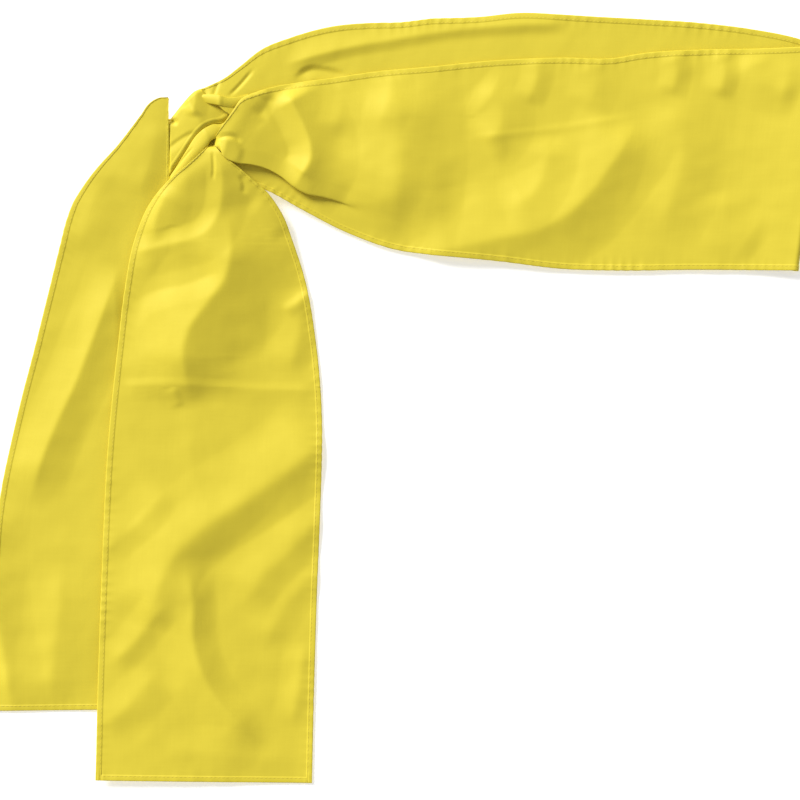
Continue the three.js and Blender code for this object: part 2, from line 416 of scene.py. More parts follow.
FRONT_TAIL_LEFT = [(-1.5, -3), (-7.6, -8.5), (-21.7, -20.8), (-40.6, -36), (-59.5, -58.5), (-73.6, -91.6),
                   (-83, -139), (-89.7, -195), (-93.5, -230), (-99, -290), (-104, -394), (-108.6, -526),
                   (-110.4, -601)]
FRONT_TAIL_RIGHT = [(1.5, -3), (9, -11), (17, -18), (28, -26.5), (40, -37), (52, -47.5), (60, -58),
                    (67, -70), (75, -91.5), (87, -129), (97, -186), (101.5, -230), (103, -261),
                    (101, -356), (98, -431), (95.3, -526), (93.5, -604)]
BACK_TAIL_LEFT = [(-41, 41.5), (-50, 41), (-59, 36), (-67, 25.5), (-89, -2), (-108, -22.6),
                  (-122.7, -41.5), (-132, -56.6), (-137, -69.4), (-145, -99), (-156, -144), (-169, -196),
                  (-180.6, -240.7), (-190, -280), (-201, -334), (-208.6, -431), (-210.5, -536)]
BACK_TAIL_RIGHT = [(-40.5, 40), (-40.5, 20), (-40.5, 0), (-40, -36), (-34, -80), (-20, -140), (-16.5, -214),
                   (-16.5, -334), (-16.5, -431), (-17, -534)]
FRONT_BAND_TOP = [(2.6, 3.4), (10, 14), (19.5, 28), (28.5, 40.5), (41, 46.5), (54, 51), (82, 56.5),
                  (110, 60.5), (153, 67), (206, 71.7)]
FRONT_BAND_BOTTOM = [(3, -4.5), (10, -20), (22, -33), (38, -40.5), (52, -46), (82, -62.3), (129, -86),
                     (172, -101), (206, -106.2)]
FRONT_LOOP_TOP = [(206, 71.7), (252, 76.5), (327.6, 80.2), (379.5, 80), (403, 84), (460, 87.8),
                  (516, 88.7), (576, 90.6)]
FRONT_LOOP_BOTTOM = [(206, -106.2), (271, -112.3), (327.6, -119), (384, -120.8), (450, -120), (547.5, -120.8)]
BACK_LOOP_TOP = [(576, 90.6), (554, 98), (507, 107.6), (460, 113.3), (403, 117), (365, 119),
                 (327.6, 121.3), (290, 122.7), (252, 119), (206, 117.5)]
BACK_LOOP_BOTTOM = [(547.5, -120.8), (500, -112), (459, -95), (400, -88), (327, -83), (252, -84), (206, -86)]
BACK_BAND_TOP = [(206, 117.5), (176.5, 114), (148, 113.3), (110.4, 109.5), (72.7, 99), (46.3, 87.8),
                 (25.5, 70.8), (11.3, 59.5), (-1, 53), (-10, 49)]
BACK_BAND_BOTTOM = [(206, -86), (150, -66), (100, -40), (60, -8), (38, 9), (24, 20), (11, 29)]

# Folds: path, height, width on its left, width on its right, then crest radius and ends where they differ.
FRONT_TAIL_FOLDS = [
    ([(2, -10), (9, -25), (10, -46), (6, -68), (-7, -86), (-29, -94), (-59, -101),
      (-80, -107)], 3.0, 24, 14, 2, 0.14),
    ([(-38, -40), (-50, -65), (-54, -82), (-48, -94)], 2.4, 26, 14, 2),
    ([(1, -8), (2, -25), (1, -38)], -0.8, 2.2, 2.2, 0.8),
    ([(26, -31), (30, -40), (29, -50)], -0.9, 5, 3, 0.8),
    ([(37, -54), (52, -65), (67, -90)], 1.4, 24, 14, 3),
    ([(14, -59), (18, -97), (12, -128), (-5, -152), (-22, -177), (-27, -199), (-24, -224),
      (-16, -252)], 11.0, 66, 56, 2, 0.26),
    ([(-88, -165), (-63, -143), (-27, -134), (12, -120)], -1.8, 26, 18, 1, 0.2),
    ([(75, -134), (82, -167), (78, -195), (69, -222)], 2.4, 14, 26, 4),
    ([(66, -160), (80, -151), (93, -140)], 1.0, 6, 8, 1.5),
    ([(-92, -229), (-33, -228), (35, -232), (99, -234)], 0.9, 7, 15, 1.0, 0.1),
    ([(-38, -230), (-34, -240), (-30, -250)], 0.8, 5, 12, 1.2),
    ([(-27, -246), (-23, -280), (-16, -328)], 0.7, 14, 18, 3),
    ([(114, -271), (78, -303), (35, -334), (-5, -360), (-31, -382), (-50, -414),
      (-63, -458)], 6.2, 30, 46, 6, 0.14),
    ([(-41, -318), (-59, -346), (-90, -375), (-109, -394)], 2.0, 16, 24, 4),
    ([(110, -343), (78, -377), (48, -407), (25, -443)], 3.4, 20, 34, 5),
    ([(103, -394), (69, -435), (46, -480)], 2.2, 18, 28, 5),
    ([(-24, -390), (-19, -431), (-18, -469), (-11, -496), (4, -524), (28, -551),
      (54, -571)], 5.6, 22, 34, 2, 0.2),
    ([(-41, -428), (-69, -465), (-99, -496)], 2.4, 16, 18, 3),
    ([(-50, -496), (-82, -533), (-109, -554)], 2.2, 24, 20, 4),
    ([(86, -469), (82, -507), (73, -554)], 2.2, 14, 18, 3),
    ([(-59, -579), (-8, -575), (46, -581), (82, -584)], 1.6, 22, 22, 5),
]
BACK_TAIL_FOLDS = [
    ([(-86, -112), (-99, -148), (-114, -188), (-131, -231), (-148, -267), (-163, -305),
      (-175, -346)], 5.0, 30, 30, 1.2, 0.2),
    ([(-199, -324), (-207, -375), (-205, -431), (-195, -488), (-186, -545)], 3.6, 30, 10, 4, 0.2),
    ([(-143, -394), (-144, -441), (-150, -488), (-154, -541)], 3.4, 40, 32, 4),
    ([(-110, -7), (-109, -41), (-118, -75), (-129, -112)], 2.4, 34, 26, 6),
    ([(-52, 22), (-59, -16), (-75, -54)], 1.6, 14, 30, 5),
]
FRONT_BAND_FOLDS = [
    ([(67, 51), (76, 36), (86, 16), (93, -4), (93, -16), (88, -27), (75, -39)], 8.2, 44, 21, 1.4, 0.16),
    ([(2, 3), (10, 13), (20, 26), (30, 38), (44, 44), (60, 47)], 3.2, 8, 25, 1.5, 0.18),
    ([(68, 29), (52, 16), (36, 5), (24, -6)], 0.8, 36, 14, 2, 0.3),
    ([(54, 44), (50, 32), (42, 22)], -1.4, 8, 9, 1.5),
    ([(4, 1), (12, 4), (22, 3), (28, -3)], -1.1, 4, 2.4, 0.8),
    ([(8, -2), (18, -1), (25, -7), (29, -15)], 1.0, 4, 8, 1.6),
    ([(165, 71), (174, 29), (176, -12), (171, -54), (161, -95)], 8.0, 58, 84, 8, 0.3),
    ([(110, -7), (150, -27), (201, -50), (229, -71)], 3.0, 44, 30, 5),
    ([(248, 56), (271, 33), (269, 12), (250, -3)], 3.4, 30, 34, 4),
    ([(228, 2), (261, 6), (328, 14), (409, 27)], 0.5, 4, 6, 0.8),
    ([(316, 10), (314, -22), (299, -50), (271, -63)], 3.0, 26, 34, 4),
    ([(177, -103), (214, -101), (261, -92), (305, -82), (335, -67), (358, -44), (375, -21), (391, 3),
      (403, 29)], 6.5, 54, 44, 3, 0.16),
    ([(422, 44), (443, 3), (437, -44), (413, -88)], 3.0, 36, 30, 6),
    ([(575, 116), (571, 12), (567, -54), (565, -167)], 6.5, 60, 76, 3, 0.1),
    ([(499, 86), (513, 61), (554, 44)], 2.6, 26, 26, 4),
    ([(479, -44), (488, -76), (516, -101)], 2.0, 30, 26, 5),
    ([(304, 84), (306, 65), (295, 35)], 2.0, 14, 14, 3),
    ([(432, 88), (437, 69), (431, 42)], 1.9, 13, 14, 3),
    ([(477, 90), (482, 69), (475, 41)], 2.1, 13, 17, 3),
    ([(165, 71), (168, 44), (154, 12)], 1.5, 20, 18, 4),
    ([(118, 63), (122, 37), (112, 5)], 1.3, 18, 16, 4),
    ([(356, 82), (362, 56), (350, 29)], 1.4, 20, 22, 4),
]
# Path, depth, width and rise of the tuck above the lower hem of the front band.
FRONT_BAND_TUCK = ([(6, -7), (15, -14), (25, -18), (38, -19.5), (52, -23), (65, -30), (76, -39),
                    (88, -46), (106, -51), (130, -60), (156, -67)], 7.2, 11, 2.6, 0.45)
BACK_BAND_TUCK = ([(14, 8), (60, 2), (110, -4), (175, -8)], 13, 19, 1.0, 0.3)
BACK_BAND_FOLDS = [
    ([(64, 72), (104, 84), (134, 91), (164, 96), (206, 103), (248, 108), (290, 111),
      (340, 112)], 2.4, 16, 9, 1, 0.1),
    ([(76, 58), (90, 68), (110, 67), (128, 62)], -2.0, 4, 9, 1),
    ([(-8, 54), (-6, 48), (-4, 41)], -1.0, 2.2, 2.2, 0.5, 0.3),
    ([(7, 60), (4, 50), (1, 40)], -1.1, 2.2, 2.2, 0.5, 0.3),
    ([(40, 70), (27, 54), (14, 40)], -1.2, 2.6, 2.6, 0.5, 0.3),
]


def front_tail_height(x, y):
    """Height of the front tail: it climbs out of the hole of the knot, falls over about 80 mm as a bell
    curve, and then lies on the back tail on its left and on the surface on its right. Its left hem hugs
    the knot."""
    run = np.maximum(-y, 0)
    rest = 6.6 - 5.1 * smooth((x + 60) / 150)
    knot = 18.5 * np.exp(-(np.maximum(run - 9, 0) / 66) ** 1.5) - 9 * np.exp(-((run / 5) ** 2))
    knot = knot * np.exp(-(np.maximum(-x - 22, 0) / 38) ** 2)
    inside, _ = beside(x, y, FRONT_TAIL_LEFT[:8])
    hem = 2.4 * np.exp(-(np.maximum(inside, 0) / 8) ** 2 - (run / 75) ** 2)
    relief = folded(x, y, FRONT_TAIL_FOLDS) + wrinkled(x, y, 11)
    return above(rest + knot - hem + relief, rest - 0.5)


def back_tail_height(x, y):
    """Height of the back tail: its top stands against the knot and falls away both down and to the left."""
    top = 16 * np.exp(-(np.clip(42 - y, 0, None) / 70) ** 2 - (np.clip(-40 - x, 0, None) / 62) ** 2)
    hidden = smooth((x + 96 + (y + 60) * 0.03) / 14) * smooth((-60 - y) / 40)
    relief = folded(x, y, BACK_TAIL_FOLDS) + wrinkled(x, y, 21)
    return above(1.6 + top + relief * (1 - 0.85 * hidden), 0.9)


def front_band_height(x, y):
    """Height of the front band: out of the hole of the knot, then falling on to the back band. Its top
    hem hugs the knot."""
    run = np.hypot(np.maximum(x, 0), y * 0.5)
    tuck, _ = beside(x, y, FRONT_BAND_TUCK[0])
    below = smooth((3 - tuck) / 6) * smooth((130 - x) / 50)
    knot = 18.5 * np.exp(-(np.maximum(run - 9, 0) / 64) ** 1.5) - 8 * np.exp(-((run / 5) ** 2))
    inside, _ = beside(x, y, FRONT_BAND_TOP)
    hem = 2.4 * np.exp(-(np.minimum(inside, 0) / 8) ** 2 - (run / 75) ** 2)
    relief = folded(x, y, FRONT_BAND_FOLDS) + wrinkled(x, y, 31)
    return above(4.2 + knot * (1 - 0.28 * below) - hem + relief, 3.2)


def back_band_height(x, y):
    """Height of the back band: from the roll of the knot down to the surface; it is smooth under the
    front band."""
    run = np.hypot(np.maximum(x - 2, 0), np.maximum(y - 36, 0) * 1.1)
    knot = 19 * np.exp(-(run / 62) ** 1.5)
    shown = smooth((y - 30 - 0.1 * np.minimum(x, 400)) / 14)
    relief = folded(x, y, BACK_BAND_FOLDS) + wrinkled(x, y, 41)
    return above(1.3 + knot + relief * shown, 0.9)


# Strands of the knot: outer edge, inner edge, and heights of the top along the run.
COLLAR_OUTER = [(4, 51), (-4, 51), (-10, 50), (-14, 48.5), (-25, 37.5), (-36.5, 24.5), (-48, 12), (-54, 2)]
COLLAR_INNER = [(30, 26), (22, 25), (15, 21), (10, 17.2), (3, 16.4), (-4, 13.8), (-12, 8), (-24, -8),
                (-34, -23), (-46, -38)]
COLLAR_TOP = [13, 15.6, 19.8, 21.2, 20.6, 18.6, 16, 12.6, 9]
WRAP_OUTER = [(23, 29), (15.5, 20), (9, 15.8), (2, 15.4), (-4, 12.8), (-13, 6), (-24, -9.5), (-33.5, -24),
              (-45, -40)]
WRAP_INNER = [(30, 22), (20, 13), (11, 8), (3.5, 4.6), (-1.9, 1.4), (-5.6, -5.2), (-10.5, -11.5),
              (-14, -17), (-21, -26), (-31, -36), (-44, -48)]
WRAP_TOP = [14, 17.4, 21, 21.4, 20.4, 18.8, 16, 12.4, 8.5]
ROLL_OUTER = [(-11, 43), (-6, 43.5), (4, 43), (15, 40.5), (24, 41), (34, 44)]
ROLL_INNER = [(-10, 40.5), (-5, 37.4), (4, 35.4), (14, 33.0), (22, 32.4), (32, 36)]
ROLL_TOP = [18, 22, 22.6, 21.6, 19.6, 16]
CORE_OUTER = [(-20, 34), (-32, 24), (-36, 8), (-36, -10), (-36, -30), (-32, -46)]
CORE_INNER = [(14, 36), (34, 27), (44, 10), (42, -8), (32, -26), (16, -46)]
CORE_HIGH = [9, 14, 16.5, 16.5, 13, 7]
THROAT_OUTER = [(-5, 8), (-6, 2), (-6, -6), (-8, -16)]
THROAT_INNER = [(6, 8), (7, 2), (9, -6), (12, -16)]
THROAT_TOP = [12, 12, 13, 16]
NECK_OUTER = [(-34, 0), (-47, -4), (-62, -12)]
NECK_INNER = [(-34, 22), (-47, 20), (-60, 12)]
NECK_TOP = [12, 9, 5]
CORE_FOLDS = [
    ([(-4, 5), (0, 0), (4, -6)], -7.0, 7, 7, 1, 0.4),
]
COLLAR_FOLDS = [
    ([(-12, 56), (-14, 46), (-15.5, 36), (-18, 22)], 2.0, 12, 9, 1.4, 0.2),
    ([(-46, -10), (-38, -4), (-25, 4.5), (-12, 10)], -1.0, 3, 6, 0.6),
    ([(22, 26), (12, 19), (2, 17), (-6, 13.5), (-15, 5), (-26, -11), (-35, -24),
      (-42, -34)], -1.9, 3.2, 3.2, 0.4, 0.1),
    ([(-46, 24), (-38, 20), (-31, 16)], -3.6, 3, 3, 0.8, 0.4),
    ([(-31, 33), (-25, 34), (-21, 38)], -0.7, 3, 3, 0.8),
]
WRAP_FOLDS = [
    ([(10, 12), (2, 6), (-8, -3), (-22, -17), (-36, -32)], 0.8, 6, 9, 1.5, 0.2),
    ([(-16, -4), (-26, -15), (-38, -30)], -0.5, 1.4, 1.4, 0.4),
]


def tucked_under(x, y, z):
    """z, lowered under the back tail left of its right edge and under the front tail inside its left hem,
    where the strands of the knot pass beneath them."""
    edge = BACK_TAIL_RIGHT[0][0]
    back = smooth((edge + 1.8 - x) / 3)
    low = np.minimum(z, back_tail_height(x, y) - 1.6)
    z = z * (1 - back) + low * back
    inside, _ = beside(x, y, FRONT_TAIL_LEFT[:7])
    front = smooth((inside + 1.8) / 3.2) * smooth((-1 - y) / 4)
    low = np.minimum(z, front_tail_height(x, y) - 1.7)
    return z * (1 - front) + low * front


def raised(plan, height):
    """A grid of plan points with their heights."""
    return np.concatenate([plan, height(plan[..., 0], plan[..., 1])[..., None]], axis=2)


def section(layers, gap):
    """Cross-section of cloth folded to and fro. layers are (first share, last share, level): straight
    layers joined by half circles. Returns the share across, the bulge past the edge and the depth, and
    the length to each point."""
    share, bulge, depth = [], [], []
    for i, (first, last, level) in enumerate(layers):
        count = 34 if level == 0 else 14
        u = np.linspace(first, last, count)
        share.append(u)
        bulge.append(np.zeros(count))
        depth.append(np.full(count, level * gap))
        if i + 1 < len(layers):
            nextfirst, _, nextlevel = layers[i + 1]
            a = np.linspace(0, math.pi, 8)[1:-1]
            radius = abs(nextlevel - level) * gap / 2
            share.append(last + (nextfirst - last) * a / math.pi)
            bulge.append(np.sign(last - first) * radius * np.sin(a))
            depth.append(gap * (level + (nextlevel - level) * (1 - np.cos(a)) / 2))
    return np.concatenate(share), np.concatenate(bulge), np.concatenate(depth)


def strand(name, outer, inner, heights, layers, gap, crown, folds, settings, seed, length):
    """A bundle of cloth folded to and fro, carried along two edge curves: its top is at the given
    heights, crowned by crown (1 - (2u - 1)^2) and folded, and its layers nest below it. length is its
    nominal length, which sets how many rows it has and the scale of its weave."""
    t = spaced(length, 0.8)
    a, b = through(outer, t), through(inner, t)
    across = b - a
    width = np.linalg.norm(across, axis=1)[:, None]
    share, bulge, depth = section(layers, gap)
    plan = a[:, None] + across[:, None] * share[:, None] + (across / width)[:, None] * bulge[:, None]
    level = np.stack([np.linspace(0, 1, len(heights)), heights], axis=1)
    top = through(level, t)[:, 1:2]
    x, y = plan[..., 0], plan[..., 1]
    relief = (folded(x, y, folds) if folds else 0) + undulation(x, y, seed, 20, 0.03)
    fit = np.minimum(1, (top - 1.2) / depth.max())
    z = top + crown * (1 - (2 * share - 1) ** 2) - crown + relief - depth * fit
    z = tucked_under(x, y, z + depth * fit) - depth * fit
    grid = np.concatenate([plan, np.maximum(z, 0.7)[..., None]], axis=2)
    steps = np.hypot(np.diff(share) * width.mean(), np.hypot(np.diff(bulge), np.diff(depth)))
    run = np.concatenate([[0], np.cumsum(steps)])
    edge = np.minimum(run, run[-1] - run)
    half = half_thickness(np.broadcast_to(edge, grid.shape[:2]), settings.cloth_thickness / MM,
                          settings.hem_thickness / MM)
    uv = np.stack(np.broadcast_arrays(run[None, :], (t * length)[:, None]), axis=-1)
    piece = shell(name, grid, half, uv, cloth_material(settings))
    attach(piece, "knot")
    return piece


# ------------------------------------------------------------------------------------------------ materials

def add(tree, kind, settings=None, links=None, name=None):
    """Adds one node: settings are its attributes and socket defaults, links its inputs' source sockets."""
    node = tree.nodes.new(kind)
    if name:
        node.name = node.label = name
    for key, value in (settings or {}).items():
        if isinstance(key, int) or key in node.inputs:
            node.inputs[key].default_value = value
        else:
            setattr(node, key, value)
    for key, source in (links or {}).items():
        tree.links.new(source, node.inputs[key])
    return node


def woven_polyester(name, colour, dark, roughness):
    """Plain-weave polyester, calendered: fine threads give a soft, even satin gloss and faint slubs; the
    dye is even."""
    material = bpy.data.materials.new(name)
    material.use_nodes = True
    tree = material.node_tree
    tree.nodes.clear()
    place = add(tree, "ShaderNodeUVMap", {"uv_map": "cloth_mm"}).outputs["UV"]
    # Slubs: thick places in the yarn, about 2.5 mm wide and 30 mm long, both ways.
    streaks = []
    for label, scale in (("warp_slubs", (0.40, 0.033, 1)), ("weft_slubs", (0.033, 0.40, 1))):
        mapping = add(tree, "ShaderNodeMapping", {"Scale": scale}, {"Vector": place})
        streaks.append(add(tree, "ShaderNodeTexNoise", {"Scale": 1.0, "Detail": 2.0, "Roughness": 0.5},
                           {"Vector": mapping.outputs[0]}, label).outputs["Fac"])
    slubs = add(tree, "ShaderNodeMath", {"operation": "ADD"}, {0: streaks[0], 1: streaks[1]}).outputs[0]
    tone = add(tree, "ShaderNodeMapRange", {"From Min": 0.7, "From Max": 1.3, "To Min": 0.0, "To Max": 1.0},
               {"Value": slubs}).outputs[0]
    mix = add(tree, "ShaderNodeMix", {"data_type": "RGBA", 6: linear(dark), 7: linear(colour)},
              {0: tone}, "dye")
    # The yarns are about 0.3 mm apart, too fine to show, so the weave is drawn 1.2 mm apart.
    pitch = 1 / 1.2
    waves = []
    for label, scale in (("warp", (pitch, 0, 0)), ("weft", (0, pitch, 0))):
        mapping = add(tree, "ShaderNodeMapping", {"Scale": scale}, {"Vector": place})
        waves.append(add(tree, "ShaderNodeTexWave", {"wave_type": "BANDS", "bands_direction": "DIAGONAL",
                                                     "Scale": 0.314, "Distortion": 0.4},
                         {"Vector": mapping.outputs[0]}, label).outputs["Fac"])
    weave = add(tree, "ShaderNodeMath", {"operation": "MULTIPLY"}, {0: waves[0], 1: waves[1]}).outputs[0]
    height = add(tree, "ShaderNodeMath", {"operation": "MULTIPLY_ADD", 1: 0.35},
                 {0: weave, 2: slubs}).outputs[0]
    bump = add(tree, "ShaderNodeBump", {"Strength": 0.25, "Distance": 0.00012}, {"Height": height})
    shader = add(tree, "ShaderNodeBsdfPrincipled",
                 {"Roughness": roughness, "IOR": 1.5, "Specular IOR Level": 0.35, "Sheen Weight": 0.06,
                  "Sheen Roughness": 0.4, "Sheen Tint": linear("#FFF3A0")},
                 {"Base Color": mix.outputs[2], "Normal": bump.outputs[0]})
    add(tree, "ShaderNodeOutputMaterial", None, {"Surface": shader.outputs[0]})
    return material


def spun_thread(name, colour):
    """Polyester sewing thread: two plies twisted together, a little shinier than the cloth."""
    material = bpy.data.materials.new(name)
    material.use_nodes = True
    tree = material.node_tree
    tree.nodes.clear()
    place = add(tree, "ShaderNodeUVMap", {"uv_map": "cloth_mm"}).outputs["UV"]
    # The plies cross the stitch every 0.8 mm.
    plies = add(tree, "ShaderNodeTexWave", {"bands_direction": "DIAGONAL", "Scale": 0.4},
                {"Vector": place}).outputs["Fac"]
    tone = add(tree, "ShaderNodeMix", {"data_type": "RGBA", 6: linear("#C9B238"), 7: linear(colour)},
               {0: plies}, "plies")
    bump = add(tree, "ShaderNodeBump", {"Strength": 0.3, "Distance": 0.0001}, {"Height": plies})
    shader = add(tree, "ShaderNodeBsdfPrincipled", {"Roughness": 0.45, "IOR": 1.5},
                 {"Base Color": tone.outputs[2], "Normal": bump.outputs[0]})
    add(tree, "ShaderNodeOutputMaterial", None, {"Surface": shader.outputs[0]})
    return material


def cloth_material(settings):
    name = "woven polyester, calendered"
    return bpy.data.materials.get(name) or woven_polyester(name, settings.cloth_hex, settings.slub_hex,
                                                           settings.cloth_roughness)


def thread_material(settings):
    name = "spun polyester thread"
    return bpy.data.materials.get(name) or spun_thread(name, settings.thread_hex)


# ------------------------------------------------------------------------------------------------ pieces

def lay_sheet(name, first, second, length, height, settings, seed, start=0.0, end_hem=False, tuck=None):
    """One sheet between two edge curves, draped by a height function, with its puckered hems and maybe a
    tuck. Returns the cloth and its stitches."""
    plan = between(first, second, spaced(length, close_end=end_hem))
    grid = raised(plan, height)
    if tuck:
        grid[..., :2], rise = tucked(plan, *tuck)
        grid[..., 2] += rise
    grid = hems(grid, seed)
    cols = grid.shape[1]
    edge = np.broadcast_to(from_edge(cols - 2 * len(HEM_COLUMNS)), grid.shape[:2]).copy()
    if end_hem:
        run = lengths(grid)
        to_end = run[-1] - run
        edge = np.minimum(edge, to_end)
        grid[..., 2] += 0.6 * pucker(np.cumsum(np.full(cols, 2.2)), seed + 7) * np.exp(-((to_end / 8.5) ** 2))
    half = half_thickness(edge, settings.cloth_thickness / MM, settings.hem_thickness / MM)
    cloth = shell(name + "_cloth", grid, half, strip_uv(grid, start), cloth_material(settings),
                  (True, not end_hem))
    return cloth, stitches(name + "_stitches", seam_lines(grid, half, end_hem), thread_material(settings))


def declare(pieces, flat, held, nodes, **more):
    """Hides the CAD nodes that a sheet stands for. Its flat size, how it is held, its stitches and the further
    keywords are not used."""
    cloth, sewn = pieces
    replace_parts(cloth, *nodes)


class SASH_PG_cloth(bpy.types.PropertyGroup):
    """Sizes and colours of the cloth."""
    cloth_thickness: bpy.props.FloatProperty(
        name="Cloth thickness", description="Thickness of one layer, its soft loft included",
        default=0.0004, min=0.0001, max=0.002, unit="LENGTH")
    hem_thickness: bpy.props.FloatProperty(
        name="Hem thickness", description="Thickness of the double-turned hem",
        default=0.0012, min=0.0003, max=0.004, unit="LENGTH")
    cloth_hex: bpy.props.StringProperty(
        name="Dye", description="Colour of the cloth, as an sRGB hex code", default="#DCC937")
    slub_hex: bpy.props.StringProperty(
        name="Slubs", description="Colour of the thin places, as an sRGB hex code", default="#DAC736")
    thread_hex: bpy.props.StringProperty(
        name="Thread", description="Colour of the stitches, as an sRGB hex code", default="#E0CD44")
    cloth_roughness: bpy.props.FloatProperty(
        name="Roughness", description="Roughness of the calendered weave", default=0.6, min=0, max=1,
        subtype="FACTOR")


class SASH_PG_stage(bpy.types.PropertyGroup):
    """Camera and light."""
    view_centre: bpy.props.FloatVectorProperty(
        name="View centre", description="The point of the floor that the camera looks straight down at",
        default=(0.1765, -0.2426), size=2, unit="LENGTH")
    view_width: bpy.props.FloatProperty(
        name="View width", description="Width of the floor that the camera sees", default=0.7552,
        unit="LENGTH")
    lens: bpy.props.FloatProperty(name="Lens", description="Focal length in millimetres", default=135)
    key_tilt: bpy.props.FloatProperty(
        name="Key tilt", description="Angle of the key light from straight down", default=math.radians(60),
        subtype="ANGLE", unit="ROTATION")
    key_turn: bpy.props.FloatProperty(
        name="Key turn", description="Turn of the key light about the vertical", default=math.radians(45),
        subtype="ANGLE", unit="ROTATION")
    key_softness: bpy.props.FloatProperty(
        name="Key softness", description="Angle that the key light spans", default=math.radians(26),
        subtype="ANGLE", unit="ROTATION")
    key_strength: bpy.props.FloatProperty(
        name="Key strength", description="Strength of the key light", default=4.5)
    fill_strength: bpy.props.FloatProperty(
        name="Fill strength", description="Strength of the light from all round", default=0.38)
    panel_glow: bpy.props.FloatProperty(
        name="Panel glow", description="Light given off by the floor", default=0.42)


class SASH_OT_front_tail(bpy.types.Operator):
    """Builds the front tail, as two sheets that meet at its cross crease."""
    bl_idname = "sash.front_tail"
    bl_label = "Front tail"

    def execute(self, context):
        settings = context.scene.sash_cloth
        left = through(FRONT_TAIL_LEFT, np.linspace(0, 1, 400))
        right = through(FRONT_TAIL_RIGHT, np.linspace(0, 1, 400))
        upper = [edge[edge[:, 1] > TAIL_CREASE + 1] for edge in (left, right)]
        lower = [edge[edge[:, 1] < TAIL_CREASE - 1] for edge in (left, right)]
        seam = [np.array([[np.interp(-TAIL_CREASE, -edge[:, 1], edge[:, 0]), TAIL_CREASE]])
                for edge in (left, right)]
        upper = [np.concatenate([edge, point]) for edge, point in zip(upper, seam)]
        lower = [np.concatenate([point, edge]) for edge, point in zip(lower, seam)]
        top = lay_sheet("front_tail_upper", *upper, 235, front_tail_height, settings, 101)
        low = lay_sheet("front_tail_lower", *lower, 374, front_tail_height, settings, 111, 235, end_hem=True)
        for piece in top:
            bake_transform(piece)
        for piece in low:
            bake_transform(piece)
        hems_of = ["front_tail_{0}", "front_tail_{0}_left_hem", "front_tail_{0}_right_hem"]
        declare(top, (STRIP_WIDTH * MM, 0.231), "gathered", [node.format("upper") for node in hems_of],
                rests_on=["back_tail_cloth"])
        declare(low, (STRIP_WIDTH * MM, 0.374), "laid",
                [node.format("lower") for node in hems_of] + ["front_tail_lower_end_hem"],
                rests_on=["back_tail_cloth"])
        return {"FINISHED"}


class SASH_OT_back_tail(bpy.types.Operator):
    """Builds the back tail, one sheet that stands against the knot at its top."""
    bl_idname = "sash.back_tail"
    bl_label = "Back tail"

    def execute(self, context):
        settings = context.scene.sash_cloth
        pieces = lay_sheet("back_tail", BACK_TAIL_LEFT, BACK_TAIL_RIGHT, 590, back_tail_height, settings, 121,
                           end_hem=True)
        for piece in pieces:
            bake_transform(piece)
        declare(pieces, (STRIP_WIDTH * MM, 0.587), "laid", [f"back_tail_{part}" for part in (
            "upper", "upper_left_hem", "upper_right_hem", "lower", "lower_left_hem", "lower_right_hem",
            "lower_end_hem")])
        return {"FINISHED"}


class SASH_OT_inner_bands(bpy.types.Operator):
    """Builds the two bands of the loop between the knot and the cross crease."""
    bl_idname = "sash.inner_bands"
    bl_label = "Inner bands"

    def execute(self, context):
        settings = context.scene.sash_cloth
        front = lay_sheet("front_band_inner", FRONT_BAND_BOTTOM, FRONT_BAND_TOP, 225, front_band_height,
                          settings, 131, tuck=FRONT_BAND_TUCK)
        back = lay_sheet("back_band_inner", BACK_BAND_TOP, BACK_BAND_BOTTOM, 225, back_band_height,
                         settings, 141, tuck=BACK_BAND_TUCK)
        # Each length is its middle line's, the shortest, but the front band's: its middle line is 0.212 m long.
        for pieces, band, length in ((front, "front_band_inner", 0.195), (back, "back_band_inner", 0.209)):
            for piece in pieces:
                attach(piece, "knot")
            declare(pieces, (STRIP_WIDTH * MM, length), "gathered",
                    [band, f"{band}_bottom_hem", f"{band}_top_hem"])
        return {"FINISHED"}


class SASH_OT_knot(bpy.types.Operator):
    """Builds the strands of the half knot: core, collar, wrap, roll, throat and the neck of the back tail."""
    bl_idname = "sash.knot"
    bl_label = "Knot"

    def execute(self, context):
        settings = context.scene.sash_cloth
        rolled = [(1, 0.1, 0), (0.1, 0.94, 4), (0.94, 0.16, 1), (0.16, 0.9, 3), (0.9, 0.2, 2)]
        tucked_in = [(0.7, 0, 1), (0, 1, 0), (1, 0, 2), (0, 1, 3), (1, 0.1, 4)]
        # Node, edge curves, heights, layers, gap, crown, folds, seed and length.
        strands = [
            ("knot_core", CORE_OUTER, CORE_INNER, CORE_HIGH, rolled, 3.4, 4.5, CORE_FOLDS, 161, 80),
            ("knot_collar", COLLAR_OUTER, COLLAR_INNER, COLLAR_TOP, rolled, 1.8, 0.8, COLLAR_FOLDS, 162, 72),
            ("knot_wrap", WRAP_OUTER, WRAP_INNER, WRAP_TOP, tucked_in, 1.4, 0.8, WRAP_FOLDS, 163, 96),
            ("knot_roll", ROLL_OUTER, ROLL_INNER, ROLL_TOP, tucked_in, 1.1, 0.7, [], 164, 42),
            ("knot_throat", THROAT_OUTER, THROAT_INNER, THROAT_TOP, rolled, 1.8, 1.5, [], 165, 26),
            ("back_tail_neck", NECK_OUTER, NECK_INNER, NECK_TOP, rolled, 1.5, 1.0, [], 166, 32),
        ]
        for node, *shape, seed, length in strands:
            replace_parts(strand(node + "_cloth", *shape, settings, seed, length), node)
        return {"FINISHED"}


